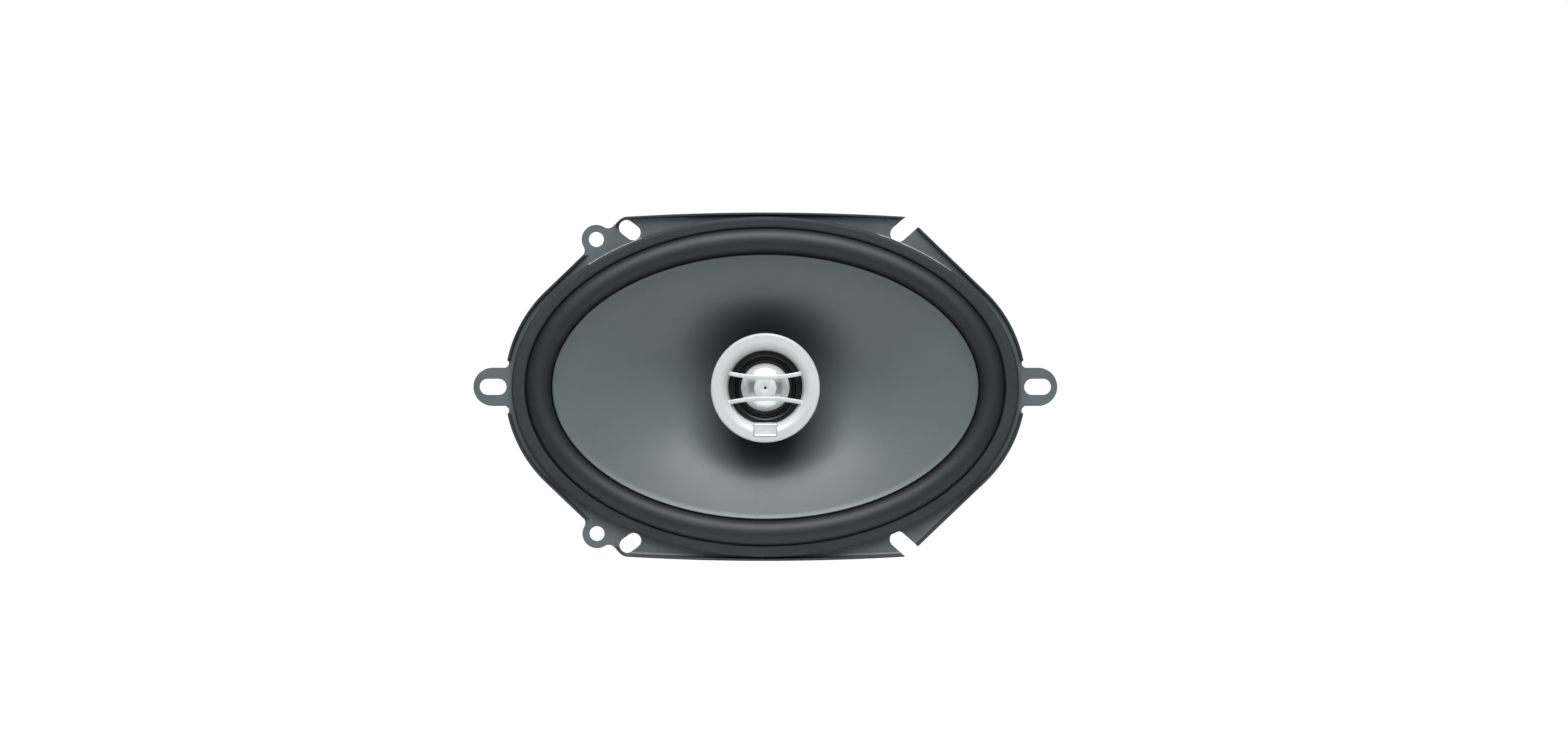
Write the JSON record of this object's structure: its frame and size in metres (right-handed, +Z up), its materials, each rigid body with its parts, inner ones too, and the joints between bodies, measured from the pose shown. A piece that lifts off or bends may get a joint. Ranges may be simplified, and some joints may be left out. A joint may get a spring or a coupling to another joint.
{
  "type": "coaxial car speaker",
  "caption": "Oval two-way coaxial car speaker with a multi-fit stamped frame, a rubber half-roll surround and a metal-dome tweeter on a centre post.",
  "frame": {"origin": "centre of the mounting plane: the flange's rear face on the speaker's axis", "axes": "+X along the long side, to the right seen from the front; +Y backwards, into the door; +Z up"},
  "size_m": [0.2374, 0.0732, 0.142],
  "materials": {
    "frame_paint": "satin",
    "gasket_rubber": "satin",
    "surround_rubber": "satin",
    "cone_polypropylene": "satin",
    "former_film": "satin",
    "coil_copper": "satin",
    "spider_cloth": "matt",
    "zinc_plating": "satin",
    "ferrite": "matt",
    "black_plastic": "satin",
    "silver_plastic": "satin metallic paint",
    "badge_plastic": "satin metallic paint",
    "dome_metal": "polished",
    "magnet_plating": "polished",
    "board_fibre": "matt",
    "terminal_tin": "satin",
    "capacitor_sleeve": "gloss",
    "woven_copper": "satin",
    "red_insulation": "satin",
    "black_insulation": "satin"
  },
  "bodies": {
    "root": {"basket_frame": "frame_paint", "front_gasket": "gasket_rubber", "surround": "surround_rubber", "spider": "spider_cloth", "top_plate": "zinc_plating", "ferrite_magnet": "ferrite", "pole_back_plate": "zinc_plating", "frame_rivet_1": "zinc_plating", "frame_rivet_2": "zinc_plating", "frame_rivet_3": "zinc_plating", "frame_rivet_4": "zinc_plating", "tweeter_post": "zinc_plating", "post_nut": "zinc_plating", "tweeter_housing": "black_plastic", "tweeter_bezel": "silver_plastic", "bezel_badge": "badge_plastic", "tweeter_suspension": "black_plastic", "tweeter_yoke_cup": "zinc_plating", "tweeter_magnet": "magnet_plating", "tweeter_pole_plate": "zinc_plating", "tweeter_support_ring": "black_plastic", "tweeter_faceplate": "black_plastic", "terminal_board": "board_fibre", "board_rivet_1": "terminal_tin", "board_rivet_2": "terminal_tin", "positive_terminal": "terminal_tin", "negative_terminal": "terminal_tin", "crossover_capacitor": "capacitor_sleeve", "tweeter_wire_positive": "red_insulation", "tweeter_wire_negative": "black_insulation", "tinsel_lead_positive": "woven_copper", "tinsel_lead_negative": "woven_copper"},
    "cone_assembly": {"woofer_cone": "cone_polypropylene", "voice_coil_former": "former_film", "voice_coil_winding": "coil_copper"},
    "dome_assembly": {"tweeter_dome": "dome_metal", "tweeter_voice_coil": "coil_copper"}
  },
  "joints": [
    {"name": "cone_excursion", "type": "slide", "parent": "root", "child": "cone_assembly", "axis": [0, -1, 0], "range_m": [-0.004, 0.004], "stiffness_N_per_m": 2500, "deforming": ["surround", "spider", "tinsel_lead_positive", "tinsel_lead_negative"]},
    {"name": "tweeter_dome_excursion", "type": "slide", "parent": "root", "child": "dome_assembly", "axis": [0, -1, 0], "range_m": [-0.0004, 0.0004], "stiffness_N_per_m": 4000, "deforming": ["tweeter_suspension"]}
  ]
}
